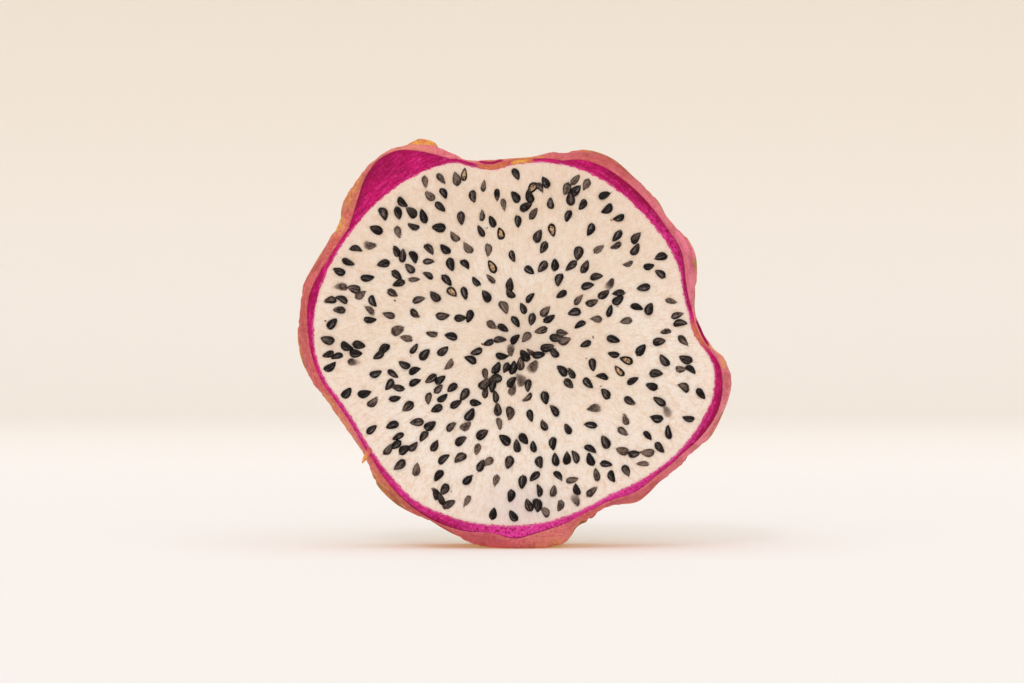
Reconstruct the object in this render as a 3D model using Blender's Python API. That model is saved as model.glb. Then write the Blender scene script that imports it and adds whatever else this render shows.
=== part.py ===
"""A crosswise slice of a dragon fruit, standing on the edge of its peel.

X runs across the slice, Y from the front cut to the rear cut, and Z up. The origin lies on the
surface that the slice stands on, under the middle of its outline. Lengths are in millimetres
up to the last step, which scales each mesh to metres.
"""
import math
import random

import bpy
import numpy as np

MM = 0.001

# The slice
THICKNESS = 16.0
FRONT = -THICKNESS / 2
REAR = THICKNESS / 2
CENTRE_X = 0.19
CENTRE_HEIGHT = 39.0
GAP = 0.3
SECTIONS = 150

# Outlines round the centre: (angle in degrees, radius), anticlockwise from +X as the front shows
FLESH_RIM = (
    (0, 35.3), (4, 34.0), (10, 33.6), (16, 33.5), (24, 34.3), (35, 34.7), (47, 34.8), (57, 35.2),
    (67, 35.5), (80, 35.1), (90, 34.2), (98, 33.5), (103, 34.6), (108, 36.3), (115, 37.0),
    (128, 37.5), (145, 37.8), (160, 38.4), (172, 38.6), (182, 38.1), (190, 36.9), (199, 34.8),
    (206, 34.0), (215, 34.0), (225, 34.4), (237, 35.3), (250, 35.1), (265, 34.7), (282, 34.4),
    (294, 34.0), (303, 34.0), (310, 34.9), (317, 35.9), (326, 37.2), (336, 38.3), (347, 38.9),
    (353, 38.2), (357, 36.8),
)
CUT_RIM = (
    (0, 36.0), (5, 34.6), (11, 34.1), (18, 34.0), (24, 35.2), (29, 36.1), (38, 36.3), (46, 36.8),
    (55, 37.3), (64, 37.6), (70, 37.2), (77, 35.7), (85, 35.2), (92, 34.7), (99, 34.1),
    (104, 35.3), (108, 36.7), (112, 38.6), (116, 40.7), (121, 42.9), (126, 43.5), (131, 42.7),
    (139, 40.0), (146, 38.4), (152, 38.3), (160, 39.5), (167, 40.1), (175, 39.5), (183, 38.6),
    (191, 37.1), (200, 35.3), (208, 34.5), (217, 34.6), (225, 35.4), (233, 36.1), (243, 36.75),
    (255, 36.7), (263, 36.1), (270, 36.85), (277, 36.0), (287, 35.2), (297, 34.5), (303, 35.0),
    (308, 36.0), (318, 36.7), (326, 37.8), (334, 39.5), (342, 40.5), (349, 40.1), (355, 38.7),
)
SKIN_RIM = (
    (0, 37.9), (5, 35.9), (11, 35.2), (16, 36.1), (21, 37.5), (27, 38.8), (32, 38.9),
    (39, 38.2), (46, 39.1), (54, 39.4), (63, 40.3), (70, 39.8), (77, 38.3), (84, 36.3),
    (91, 35.7), (98, 35.8), (103, 36.5), (107, 38.2), (112, 41.2), (117, 43.4), (121, 44.4),
    (127, 44.6), (135, 44.1), (141, 43.5), (145, 41.7), (151, 41.0), (157, 41.4), (165, 42.3),
    (173, 42.2), (181, 41.6), (188, 40.4), (194, 38.9), (201, 37.7), (207, 36.3), (212, 36.0),
    (219, 36.5), (225, 37.8), (233, 38.3), (242, 37.9), (251, 38.1), (257, 39.6), (262, 40.0),
    (270, 40.2), (276, 40.3), (281, 40.2), (285, 39.8), (288.5, 37.4), (293, 36.8), (298, 36.1),
    (303, 36.9), (308, 38.4), (312, 38.5), (316, 38.4), (324, 39.9), (330, 40.5), (334, 41.5),
    (341, 42.1), (348, 42.4), (353, 42.0), (357, 40.4),
)
REAR_RIM = (
    (0, 37.1), (10, 34.75), (19, 36.3), (30, 38.2), (46, 38.3), (63, 39.7), (78, 37.4),
    (91, 35.5), (103, 36.1), (113, 40.0), (126, 42.4), (139, 41.6), (151, 40.2), (165, 41.4),
    (180, 40.8), (193, 38.0), (210, 35.8), (225, 37.2), (241, 37.6), (257, 38.9), (270, 38.6),
    (283, 38.2), (297, 35.7), (311, 37.6), (330, 39.4), (345, 41.2), (353, 40.7),
)
REAR_TAPER = 0.3            # share of the rear rim's reach beyond the flesh that is flesh too
THINNEST_CUT = 0.5          # least width of the peel's front cut
CUT_SLOPE = 0.15            # the front cut dries back this much at its outer edge

# The outer skin from the front cut to the rear cut: (depth, share of the way out to the skin rim)
FLARE = ((-7.0, 0.44), (-5.0, 0.76), (-2.0, 0.95), (1.5, 1.0), (5.5, 0.94))

# Scales lying on the skin, points to the front: middle angle, half their spread, depth at the
# root and at the point
SCALES = (
    (27, 13, 2.5, -6.2),
    (62, 15, 3.5, -5.8),
    (157, 13, 3.0, -6.0),
    (231, 13, 3.0, -6.0),
    (309, 12, 3.5, -6.2),
    (343, 14, 2.5, -6.0),
    (8, 15, 7.6, -1.0),
    (45, 12, 7.6, 0.5),
    (92, 16, 7.6, -2.0),
    (183, 15, 7.6, -1.0),
    (212, 10, 7.6, 0.5),
    (296, 12, 7.6, -0.5),
    (326, 10, 7.6, 1.0),
)
SCALE_LIFT = 0.9
SCALE_OVER_RIM = 0.25       # a scale may stand this far outside the skin's own outline
SCALE_ROUNDING = 0.3        # lower by this much at its two edges
SCALE_THICKNESS = 0.9
SCALE_ROOT_DEPTH = 1.2
SCALE_CLEARANCE = 0.35      # between a scale's root and the peel's inner wall
SCALE_ROWS = 7
SCALE_COLUMNS = 7

# Tips that stand out from the skin: angle, root radius, depth, direction, length, half width,
# lean back
TIPS = (
    (117.2, 38.9, 0.8, 98.0, 5.3, 3.9, 1.4),
    (215.7, 34.9, -8.0, 240.0, 2.4, 0.5, 0.5),
)
TIP_THICKNESS = 0.9
TIP_ROWS = 6
TIP_COLUMNS = 5

# The seeds
SEED_LENGTH = 2.35
SEED_WIDTH = 1.45
SEED_RISE = 0.55
SEED_WAIST = 0.06           # the widest outline lies this far under the cut
SEED_ROOT = 0.9
FRONT_SEEDS = 330
REAR_SEEDS = 330
SEED_MARGIN = 1.9           # from a seed's middle to the flesh's rim
SEED_SPACING = 2.2
HEART_SHARE = 0.06          # of the seeds crowd round the core
HEART_SPREAD = 4.5
HEART_SPACING = 1.6
TWIN_SHARE = 0.22           # of the seeds lie close to another one
TWIN_REACH = (1.4, 3.0)
THROWS = 8
CORE = (0.8, 1.0)
LEAN_SPREAD = 28.0          # degrees off the line from the core


def radius(outline, degrees):
    """Reads a closed outline at some angles, on a smooth curve through its points."""
    angle, value = np.array(outline, dtype=float).T
    angle = np.concatenate((angle[-2:] - 360, angle, angle[:3] + 360))
    value = np.concatenate((value[-2:], value, value[:3]))
    slope = np.gradient(value, angle)
    degrees = np.mod(degrees, 360.0)
    i = np.searchsorted(angle, degrees, side="right") - 1
    step = angle[i + 1] - angle[i]
    t = (degrees - angle[i]) / step
    start = (2 * t**3 - 3 * t**2 + 1) * value[i] + (t**3 - 2 * t**2 + t) * step * slope[i]
    end = (3 * t**2 - 2 * t**3) * value[i + 1] + (t**3 - t**2) * step * slope[i + 1]
    return start + end


def flesh_rims(degrees):
    """Radius of the flesh at the front cut and at the rear cut."""
    front = radius(FLESH_RIM, degrees)
    rear = front + REAR_TAPER * (radius(REAR_RIM, degrees) - front)
    return front, rear


def peel_bore(degrees, depth):
    """Radius of the peel's inner wall at an angle and a depth."""
    front, rear = flesh_rims(degrees)
    return front + (rear - front) * (depth - FRONT) / THICKNESS + GAP / 2


def cut_rim(degrees):
    """Radius of the outer edge of the peel's front cut."""
    least = radius(FLESH_RIM, degrees) + GAP / 2 + THINNEST_CUT
    return np.maximum(radius(CUT_RIM, degrees), least)


def skin_radius(degrees, depth):
    """Radius of the outer skin at an angle and a depth."""
    front = cut_rim(degrees)
    rim = radius(SKIN_RIM, degrees)
    depths = [FRONT + CUT_SLOPE] + [d for d, share in FLARE] + [REAR]
    rings = [front] + [front + share * (rim - front) for d, share in FLARE]
    rings.append(radius(REAR_RIM, degrees))
    i = int(np.clip(np.searchsorted(depths, depth, side="right") - 1, 0, len(depths) - 2))
    t = (depth - depths[i]) / (depths[i + 1] - depths[i])
    return rings[i] + t * (rings[i + 1] - rings[i])


def place(degrees, reach, depth):
    """Point at an angle and a radius round the slice's centre, kept above the surface."""
    turn = np.radians(degrees)
    x = CENTRE_X + reach * np.cos(turn)
    z = np.maximum(CENTRE_HEIGHT + reach * np.sin(turn), 0.0)
    return np.stack((x, np.broadcast_to(depth, x.shape), z), axis=-1)


def make_object(name, points, faces, material):
    """Makes a mesh object from points in millimetres."""
    mesh = bpy.data.meshes.new(name)
    mesh.from_pydata((np.asarray(points) * MM).tolist(), [], faces)
    mesh.materials.append(material)
    made = bpy.data.objects.new(name, mesh)
    bpy.context.scene.collection.objects.link(made)
    return made


def make_material(name, colour, roughness):
    """A plain Principled material; nothing on the fruit is metallic."""
    material = bpy.data.materials.new(name)
    material.use_nodes = True
    shader = material.node_tree.nodes["Principled BSDF"]
    shader.inputs["Base Color"].default_value = (*colour, 1.0)
    shader.inputs["Roughness"].default_value = roughness
    shader.inputs["Metallic"].default_value = 0.0
    return material


def ring_faces(rows, columns):
    """Quads of a grid whose rows and columns both close on themselves."""
    faces = []
    for row in range(rows):
        for column in range(columns):
            below = (row + 1) % rows
            beside = (column + 1) % columns
            corners = (row, column), (below, column), (below, beside), (row, beside)
            faces.append([r * columns + c for r, c in corners])
    return faces


def join_all(target, pieces, solver):
    """Unites the pieces with the target and removes them."""
    group = bpy.data.collections.new(target.name + "_pieces")
    for piece in pieces:
        group.objects.link(piece)
        bpy.context.scene.collection.objects.unlink(piece)
    bpy.context.scene.collection.children.link(group)
    union = target.modifiers.new("union", "BOOLEAN")
    union.operation = "UNION"
    union.operand_type = "COLLECTION"
    union.collection = group
    union.solver = solver
    bpy.context.view_layer.update()
    graph = bpy.context.evaluated_depsgraph_get()
    joined = bpy.data.meshes.new_from_object(target.evaluated_get(graph))
    target.modifiers.clear()
    target.data = joined
    for piece in pieces:
        bpy.data.objects.remove(piece)
    bpy.data.collections.remove(group)


def plate(name, front_grid, rear_grid, material):
    """Closed plate between two grids of points, both split into triangles alike."""
    rows, columns = front_grid.shape[:2]
    points = np.concatenate((front_grid.reshape(-1, 3), rear_grid.reshape(-1, 3)))
    behind = rows * columns
    faces = []
    for row in range(rows - 1):
        for column in range(columns - 1):
            a = row * columns + column
            b, c, d = a + 1, a + columns + 1, a + columns
            faces += [(a, b, c), (a, c, d)]
            faces += [(behind + c, behind + b, behind + a), (behind + d, behind + c, behind + a)]
    rim = [column for column in range(columns)]
    rim += [row * columns + columns - 1 for row in range(1, rows)]
    rim += [(rows - 1) * columns + column for column in range(columns - 2, -1, -1)]
    rim += [row * columns for row in range(rows - 2, 0, -1)]
    for a, b in zip(rim, rim[1:] + rim[:1]):
        faces += [(b, a, behind + a), (b, behind + a, behind + b)]
    return make_object(name, points, faces, material)


def make_scale(index, scale, material):
    """A leaf-shaped scale on the skin, its root sunk in and its point lifted towards the front."""
    middle, spread, root, tip = scale
    across = np.linspace(-1, 1, SCALE_COLUMNS)
    outer, inner = [], []
    for along in np.linspace(0, 0.96, SCALE_ROWS):
        width = spread * (1 - along**1.6)
        degrees = middle + across * width
        depth = root + (tip - root) * along
        raised = SCALE_LIFT * (0.3 + 0.7 * along) - SCALE_ROUNDING * across**4
        highest = radius(SKIN_RIM, degrees) + SCALE_OVER_RIM
        reach = np.minimum(skin_radius(degrees, depth) + raised, highest)
        outer.append(place(degrees, reach, depth))
        sunk = SCALE_THICKNESS + SCALE_ROOT_DEPTH * (1 - along)
        deepest = peel_bore(degrees, depth) + SCALE_CLEARANCE
        inner.append(place(degrees, np.maximum(reach - sunk, deepest), depth))
    return plate(f"scale_{index}", np.array(outer), np.array(inner), material)


def make_tip(index, tip, material):
    """A tongue that stands out from the skin, rounded at its end and leaning to the rear."""
    angle, root, depth, direction, length, half_width, lean = tip
    turn = math.radians(angle)
    points_to = math.radians(direction)
    out = np.array((math.cos(points_to), 0.0, math.sin(points_to)))
    side = np.array((-math.sin(points_to), 0.0, math.cos(points_to)))
    start = np.array((CENTRE_X + root * math.cos(turn), depth, CENTRE_HEIGHT + root * math.sin(turn)))
    back = np.array((0.0, 1.0, 0.0))
    front, rear = [], []
    for along in np.linspace(0, 0.97, TIP_ROWS):
        centre = start + out * length * along + back * lean * along**2
        width = half_width * math.sqrt(1 - along**3)
        row = [centre + side * width * u for u in np.linspace(-1, 1, TIP_COLUMNS)]
        front.append(row)
        rear.append([point + back * TIP_THICKNESS for point in row])
    return plate(f"tip_{index}", np.array(front), np.array(rear), material)


def make_peel(material):
    """The peel: a ring swept round the flesh, with scales and tips grown out of its skin."""
    degrees = np.arange(SECTIONS) * 360.0 / SECTIONS
    cut = cut_rim(degrees)
    rim = radius(SKIN_RIM, degrees)
    stations = [(peel_bore(degrees, FRONT), FRONT), (cut, FRONT + CUT_SLOPE)]
    stations += [(cut + share * (rim - cut), depth) for depth, share in FLARE]
    stations += [(radius(REAR_RIM, degrees), REAR), (peel_bore(degrees, REAR), REAR)]
    rings = np.concatenate([place(degrees, reach, depth) for reach, depth in stations])
    faces = [face[::-1] for face in ring_faces(len(stations), SECTIONS)]
    peel = make_object("peel", rings, faces, material)
    grown = [make_scale(i, scale, material) for i, scale in enumerate(SCALES)]
    grown += [make_tip(i, tip, material) for i, tip in enumerate(TIPS)]
    join_all(peel, grown, "EXACT")
    return peel


def seed_places(count, rim_at, number):
    """Middles and directions of the seeds on one cut, in its plane.

    Some crowd round the core, some lie close to a seed that is already there, and each other one is
    the best of a few throws: the one furthest from its neighbours. A seed points along the line
    from the core, inwards or outwards, give or take some degrees.
    """
    draw = random.Random(number)
    kept = []
    while len(kept) < count:
        kind = draw.random()
        if kind < HEART_SHARE or len(kept) < 8:
            x = CORE[0] + draw.gauss(0, HEART_SPREAD)
            z = CORE[1] + draw.gauss(0, HEART_SPREAD)
            spacing = HEART_SPACING
        elif kind < HEART_SHARE + TWIN_SHARE:
            near = kept[draw.randrange(len(kept))]
            turn = draw.uniform(0, 2 * math.pi)
            reach = draw.uniform(*TWIN_REACH)
            x = near[0] + reach * math.cos(turn)
            z = near[1] + reach * math.sin(turn)
            spacing = TWIN_REACH[0]
        else:
            throws = []
            for _ in range(THROWS):
                turn = draw.uniform(0, 2 * math.pi)
                reach = math.sqrt(draw.random()) * rim_at(math.degrees(turn))
                throw = reach * math.cos(turn), reach * math.sin(turn)
                free = min(math.dist(throw, seed[:2]) for seed in kept)
                throws.append((free, throw))
            x, z = max(throws)[1]
            spacing = SEED_SPACING
        turn = math.degrees(math.atan2(z, x))
        inside = math.hypot(x, z) < rim_at(turn) - SEED_MARGIN
        free = all(math.dist((x, z), seed[:2]) > spacing for seed in kept)
        if inside and free:
            from_core = math.atan2(z - CORE[1], x - CORE[0])
            lean = math.radians(draw.gauss(0, LEAN_SPREAD))
            inwards = math.pi if draw.random() < 0.55 else 0.0
            kept.append((x, z, from_core + lean + inwards))
    return kept


def make_seed(name, seed, face, outward, material):
    """A pear-shaped seed of five sides, widest just under the cut, its point towards its tip."""
    x, z, turn = seed
    half, wide = SEED_LENGTH / 2, SEED_WIDTH / 2
    outline = ((half, 0), (0.1 * half, 0.92 * wide), (-0.86 * half, 0.62 * wide),
               (-0.86 * half, -0.62 * wide), (0.1 * half, -0.92 * wide))
    waist = face - outward * SEED_WAIST
    points = []
    for along, across in outline:
        points.append((CENTRE_X + x + along * math.cos(turn) - across * math.sin(turn), waist,
                       CENTRE_HEIGHT + z + along * math.sin(turn) + across * math.cos(turn)))
    crown = -0.2 * half
    top = (CENTRE_X + x + crown * math.cos(turn), CENTRE_HEIGHT + z + crown * math.sin(turn))
    points.append((top[0], face + outward * SEED_RISE, top[1]))
    points.append((top[0], face - outward * SEED_ROOT, top[1]))
    faces = []
    for i in range(5):
        j = (i + 1) % 5
        faces += [(i, j, 5), (j, i, 6)] if outward < 0 else [(j, i, 5), (i, j, 6)]
    return make_object(name, points, faces, material)


def make_flesh(flesh_material, seed_material):
    """The flesh: a tapered disc with its seeds standing out of both cuts."""
    degrees = np.arange(SECTIONS) * 360.0 / SECTIONS
    front_rim, rear_rim = flesh_rims(degrees)
    front = place(degrees, front_rim - GAP / 2, FRONT)
    rear = place(degrees, rear_rim - GAP / 2, REAR)
    around = list(range(SECTIONS))
    faces = [around, [SECTIONS + i for i in reversed(around)]]
    for i in around:
        j = (i + 1) % SECTIONS
        faces.append((j, i, SECTIONS + i, SECTIONS + j))
    flesh = make_object("flesh", np.concatenate((front, rear)), faces, flesh_material)
    flesh.data.materials.append(seed_material)
    seeds = []
    cuts = ((FRONT, -1, FRONT_SEEDS, lambda a: float(flesh_rims(a)[0])),
            (REAR, 1, REAR_SEEDS, lambda a: float(flesh_rims(a)[1])))
    for number, (face, outward, count, rim_at) in enumerate(cuts):
        for i, seed in enumerate(seed_places(count, rim_at, number)):
            seeds.append(make_seed(f"seed_{number}_{i}", seed, face, outward, seed_material))
    join_all(flesh, seeds, "MANIFOLD")
    return flesh


def main():
    for old in list(bpy.data.objects):
        bpy.data.objects.remove(old)
    skin = make_material("skin", (0.55, 0.05, 0.13), 0.6)
    pulp = make_material("pulp", (0.86, 0.69, 0.56), 0.4)
    seed = make_material("seed", (0.02, 0.018, 0.018), 0.3)
    make_peel(skin)
    make_flesh(pulp, seed)


main()
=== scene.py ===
"""Looks of a dragon fruit slice: fine flesh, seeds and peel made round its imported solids.

Shapes are worked out in millimetres in the frame's own axes, with the front cut towards -Y, and
are scaled to metres when their meshes are made. Angles run anticlockwise from +X, as the front
cut is seen, round the middle of the slice.
"""

import math
import random

import bpy
import numpy as np
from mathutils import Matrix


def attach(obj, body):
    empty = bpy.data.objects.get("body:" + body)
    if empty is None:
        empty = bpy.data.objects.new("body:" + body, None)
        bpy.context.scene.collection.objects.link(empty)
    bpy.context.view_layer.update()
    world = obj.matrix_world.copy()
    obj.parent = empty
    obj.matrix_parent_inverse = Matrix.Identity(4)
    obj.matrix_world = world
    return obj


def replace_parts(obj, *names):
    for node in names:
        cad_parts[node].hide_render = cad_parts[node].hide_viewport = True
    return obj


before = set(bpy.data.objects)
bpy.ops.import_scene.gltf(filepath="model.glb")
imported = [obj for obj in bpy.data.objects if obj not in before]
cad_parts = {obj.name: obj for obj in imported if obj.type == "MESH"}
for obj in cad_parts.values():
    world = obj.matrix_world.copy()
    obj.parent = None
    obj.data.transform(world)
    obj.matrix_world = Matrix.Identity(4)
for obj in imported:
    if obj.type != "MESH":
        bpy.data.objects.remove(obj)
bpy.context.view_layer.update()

MM = 0.001

# The slice, as its solids have it: a rim is angles and radii round its middle
THICKNESS = 16.0
FRONT = -THICKNESS / 2
REAR = THICKNESS / 2
CENTRE_X = 0.19
CENTRE_HEIGHT = 39.0
FLESH_RIM = (
    (0, 35.3), (4, 34), (10, 33.6), (16, 33.5), (24, 34.3), (35, 34.7), (47, 34.8), (57, 35.2),
    (67, 35.5), (80, 35.1), (90, 34.2), (98, 33.5), (103, 34.6), (108, 36.3), (115, 37),
    (128, 37.5), (145, 37.8), (160, 38.4), (172, 38.6), (182, 38.1), (190, 36.9), (199, 34.8),
    (206, 34), (215, 34), (225, 34.4), (237, 35.3), (250, 35.1), (265, 34.7), (282, 34.4),
    (294, 34), (303, 34), (310, 34.9), (317, 35.9), (326, 37.2), (336, 38.3), (347, 38.9),
    (353, 38.2), (357, 36.8),
)
CUT_RIM = (
    (0, 36), (5, 34.6), (11, 34.1), (18, 34), (24, 35.2), (29, 36.1), (38, 36.3), (46, 36.8),
    (55, 37.3), (64, 37.6), (70, 37.2), (77, 35.7), (85, 35.2), (92, 34.7), (99, 34.1),
    (104, 35.3), (108, 36.7), (112, 38.6), (116, 40.7), (121, 42.9), (126, 43.5), (131, 42.7),
    (139, 40), (146, 38.4), (152, 38.3), (160, 39.5), (167, 40.1), (175, 39.5), (183, 38.6),
    (191, 37.1), (200, 35.3), (208, 34.5), (217, 34.6), (225, 35.4), (233, 36.1), (243, 36.75),
    (255, 36.7), (263, 36.1), (270, 36.85), (277, 36), (287, 35.2), (297, 34.5), (303, 35),
    (308, 36), (318, 36.7), (326, 37.8), (334, 39.5), (342, 40.5), (349, 40.1), (355, 38.7),
)
SKIN_RIM = (
    (0, 37.9), (5, 35.9), (11, 35.2), (16, 36.1), (21, 37.5), (27, 38.8), (32, 38.9),
    (39, 38.2), (46, 39.1), (54, 39.4), (63, 40.3), (70, 39.8), (77, 38.3), (84, 36.3),
    (91, 35.7), (98, 35.8), (103, 36.5), (107, 38.2), (112, 41.2), (117, 43.4), (121, 44.4),
    (127, 44.6), (135, 44.1), (141, 43.5), (145, 41.7), (151, 41), (157, 41.4), (165, 42.3),
    (173, 42.2), (181, 41.6), (188, 40.4), (194, 38.9), (201, 37.7), (207, 36.3), (212, 36),
    (219, 36.5), (225, 37.8), (233, 38.3), (242, 37.9), (251, 38.1), (257, 39.6), (262, 40),
    (270, 40.2), (276, 40.3), (281, 40.2), (285, 39.8), (288.5, 37.4), (293, 36.8), (298, 36.1),
    (303, 36.9), (308, 38.4), (312, 38.5), (316, 38.4), (324, 39.9), (330, 40.5), (334, 41.5),
    (341, 42.1), (348, 42.4), (353, 42), (357, 40.4),
)
REAR_RIM = (
    (0, 37.1), (10, 34.75), (19, 36.3), (30, 38.2), (46, 38.3), (63, 39.7), (78, 37.4),
    (91, 35.5), (103, 36.1), (113, 40), (126, 42.4), (139, 41.6), (151, 40.2), (165, 41.4),
    (180, 40.8), (193, 38), (210, 35.8), (225, 37.2), (241, 37.6), (257, 38.9), (270, 38.6),
    (283, 38.2), (297, 35.7), (311, 37.6), (330, 39.4), (345, 41.2), (353, 40.7),
)
REAR_TAPER = 0.3
THINNEST_CUT = 0.65
# Depths, and how far the skin has come there from the cut's rim to its own
FLARE = ((-8.0, 0.0), (-7.0, 0.44), (-5.0, 0.76), (-2.0, 0.95), (1.5, 1.0), (5.5, 0.94))
SCALES = (          # middle angle, half the root's spread, depth of the root, depth of the tip
    (27, 13, 2.5, -6.2), (62, 15, 3.5, -5.8), (157, 13, 3, -6), (231, 13, 3, -6),
    (309, 12, 3.5, -6.2), (343, 14, 2.5, -6), (8, 15, 7.6, -1), (45, 12, 7.6, 0.5),
    (92, 16, 7.6, -2), (183, 15, 7.6, -1), (212, 10, 7.6, 0.5), (296, 12, 7.6, -0.5),
    (326, 10, 7.6, 1),
)
SCALE_LIFT = 0.9
SCALE_OVER_RIM = 0.12
CAMERA_AWAY = 545.0         # the outline was read in a view from here, where nearer is larger
SKIN_UNDER_SCALES = 0.55    # the skin between the scales lies this much lower than they do
TIPS = (            # angle, radius and depth of the root, direction, length, half width, lean
    (117.2, 38.9, 0.8, 98.0, 5.3, 3.9, 1.4),
    (215.7, 33.9, -8.35, 242.6, 3.3, 0.45, -0.5),
)

# The seeds, as their solids have them
SEED_LENGTH = 2.35
SEED_WIDTH = 1.45
SEEDS_A_CUT = 330
SEED_MARGIN = 1.9
SEED_SPACING = 2.2
HEART_SHARE = 0.06
HEART_SPREAD = 4.5
HEART_SPACING = 1.6
TWIN_SHARE = 0.22
TWIN_REACH = (1.4, 3.0)
THROWS = 8
CORE = (0.8, 1.0)
LEAN_SPREAD = 28.0
SEED_FLATNESS = 0.68        # a seed's thickness as a share of its width
PEAR_WIDEST = 0.3932        # the most that the pear's formula gives
OPEN, PROUD, SUNK, BURIED = range(4)
# For each kind: its share, the height of its middle over the cut, and its pitch in degrees
KIND_SHARES = (0.024, 0.741, 0.20, 0.035)
KIND_LEVELS = ((-0.05, 0.1), (-0.20, 0.02), (-0.32, -0.18), (-0.66, -0.50))
KIND_PITCHES = (0, 6, 7, 6)
FILM_CLEARNESS = 0.30       # flesh this thick lets a third of a seed's darkness through
SHADE_REACH = 2.2           # further from its middle than this a seed darkens nothing
SHADE_TUCK = 0.16           # a seed at the cut hides its own shade, drawn in by this much
WARM_REACH = 0.20           # the flesh beside a seed is stained over about this width
SEED_DIMPLE = 0.06          # the flesh sinks this much at a seed's edge
SEED_TOP = 0.5              # no seed stands higher over the cut
OPEN_TOP = 0.02             # a seed that the knife opened ends here
CRUMBS_A_CUT = 16           # brown specks and broken bits of seed

# Joins of the pieces
FLESH_RECESS = 0.05         # the flesh lies this much behind the cut
FLESH_ROUNDING = 0.16       # and this much more at its edge
FLESH_OVERLAP = 0.06        # the flesh reaches this far under the peel
RIND_OVERLAP = 0.08         # the peel reaches this far over the flesh
RIND_UNDER_SKIN = 1.7       # the cut body's back lies this far inside the skin
SHELL = 1.9                 # how thick the skin's shell is
LANDS = (-5.0, -2.0, 1.0, 4.0)      # depths of the rings inside the peel

# Fineness
FLESH_GRID = 288
RIND_COLUMNS = 1380
CUT_ROWS = (23, 13)         # rings over the front cut of the peel, and over its rear cut
SKIN_ROWS = 60
TIP_ROWS = 26
TIP_COLUMNS = 25
BEND_STEPS = 24
SEED_RINGS = (0.04, 0.17, 0.37, 0.58, 0.79, 0.94)      # shares of a seed's length
SEED_SIDES = np.radians([-20, 15, 45, 75, 105, 135, 165, 200, 270])

# The view and the stage
PIXEL = 0.19                # millimetres of the front cut in a pixel of the photograph
PHOTO_WIDTH = 1024
LENS = 100.0
SENSOR = 36.0
CAMERA_X = -0.38
CAMERA_HEIGHT = 39.5
STAGE_START = -1.6          # metres, as the next four
FLOOR_END = 0.95
BEND = 0.55
WALL_TOP = 1.9
STAGE_HALF_WIDTH = 2.2


def smooth(low, high, value):
    """0 at low, 1 at high, an S curve between: 3t^2 - 2t^3."""
    t = np.clip((value - low) / (high - low), 0, 1)
    return t * t * (3 - 2 * t)


def short_way(degrees):
    """The same turn, from -180 to 180 degrees."""
    return (degrees + 180) % 360 - 180


def hump(degrees, middle, spread):
    """1 at an angle, falling on an S curve to 0 at its spread on both sides."""
    return smooth(1, 0, np.abs(short_way(degrees - middle)) / spread)


def radius(outline, degrees):
    """Reads a closed outline at some angles, on cubics through its points."""
    angle, value = np.array(outline, dtype=float).T
    angle = np.concatenate((angle[-2:] - 360, angle, angle[:3] + 360))
    value = np.concatenate((value[-2:], value, value[:3]))
    slope = np.gradient(value, angle)
    degrees = np.mod(degrees, 360.0)
    i = np.searchsorted(angle, degrees, side="right") - 1
    step = angle[i + 1] - angle[i]
    t = (degrees - angle[i]) / step
    start = (2 * t**3 - 3 * t**2 + 1) * value[i] + (t**3 - 2 * t**2 + t) * step * slope[i]
    end = (3 * t**2 - 2 * t**3) * value[i + 1] + (t**3 - t**2) * step * slope[i + 1]
    return start + end


def ripple(degrees, along, counts, drift, number):
    """Uneven waves round the ring: a sum of sines with whole counts, so that it closes.

    Each sine has its own drawn height and phase, and turns by up to drift radians for each
    millimetre along. The sum is scaled to about 1.
    """
    draw = np.random.default_rng(number)
    turn = np.radians(degrees)
    total = 0.0
    for count in counts:
        height = draw.uniform(0.4, 1.0)
        total = total + height * np.sin(count * turn + draw.uniform(-drift, drift) * along
                                        + draw.uniform(0, math.tau))
    return total / math.sqrt(len(counts) / 4)


def flesh_rims(degrees):
    """Radius of the flesh at the front cut and at the rear cut."""
    front = radius(FLESH_RIM, degrees)
    rear = front + REAR_TAPER * (radius(REAR_RIM, degrees) - front)
    return front, rear


def place(degrees, reach, depth):
    """Points at angles and radii round the slice's middle, kept above the surface below it."""
    turn = np.radians(degrees)
    x = CENTRE_X + reach * np.cos(turn)
    z = np.maximum(CENTRE_HEIGHT + reach * np.sin(turn), 0.0)
    return np.stack(np.broadcast_arrays(x, depth, z), axis=-1)


def put(name, data):
    """An object in the scene for a mesh, a camera or a light."""
    made = bpy.data.objects.new(name, data)
    bpy.context.scene.collection.objects.link(made)
    return made


def make_piece(name, points, faces, material, facts):
    """Makes a mesh from points in millimetres, with one number a point for each fact."""
    mesh = bpy.data.meshes.new(name)
    mesh.from_pydata((points.reshape(-1, 3) * MM).tolist(), [], faces)
    mesh.shade_smooth()
    mesh.materials.append(material)
    for fact, values in facts.items():
        layer = mesh.attributes.new(name=fact, type="FLOAT", domain="POINT")
        layer.data.foreach_set("value", np.asarray(values, dtype=np.float32).ravel())
    piece = put(name, mesh)
    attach(piece, "root")
    return piece


class Wire:
    """A socket that takes part in sums: an expression on wires adds its Math nodes."""

    def __init__(self, finish, socket):
        self.finish = finish
        self.socket = socket

    def maths(self, operation, *values):
        return self.finish.node("Math", {"operation": operation}, dict(enumerate(values)))

    def __add__(self, other):
        return self.maths("ADD", self, other)

    def __sub__(self, other):
        return self.maths("SUBTRACT", self, other)

    def __rsub__(self, other):
        return self.maths("SUBTRACT", other, self)

    def __mul__(self, other):
        return self.maths("MULTIPLY", self, other)

    __radd__ = __add__
    __rmul__ = __mul__


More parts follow.
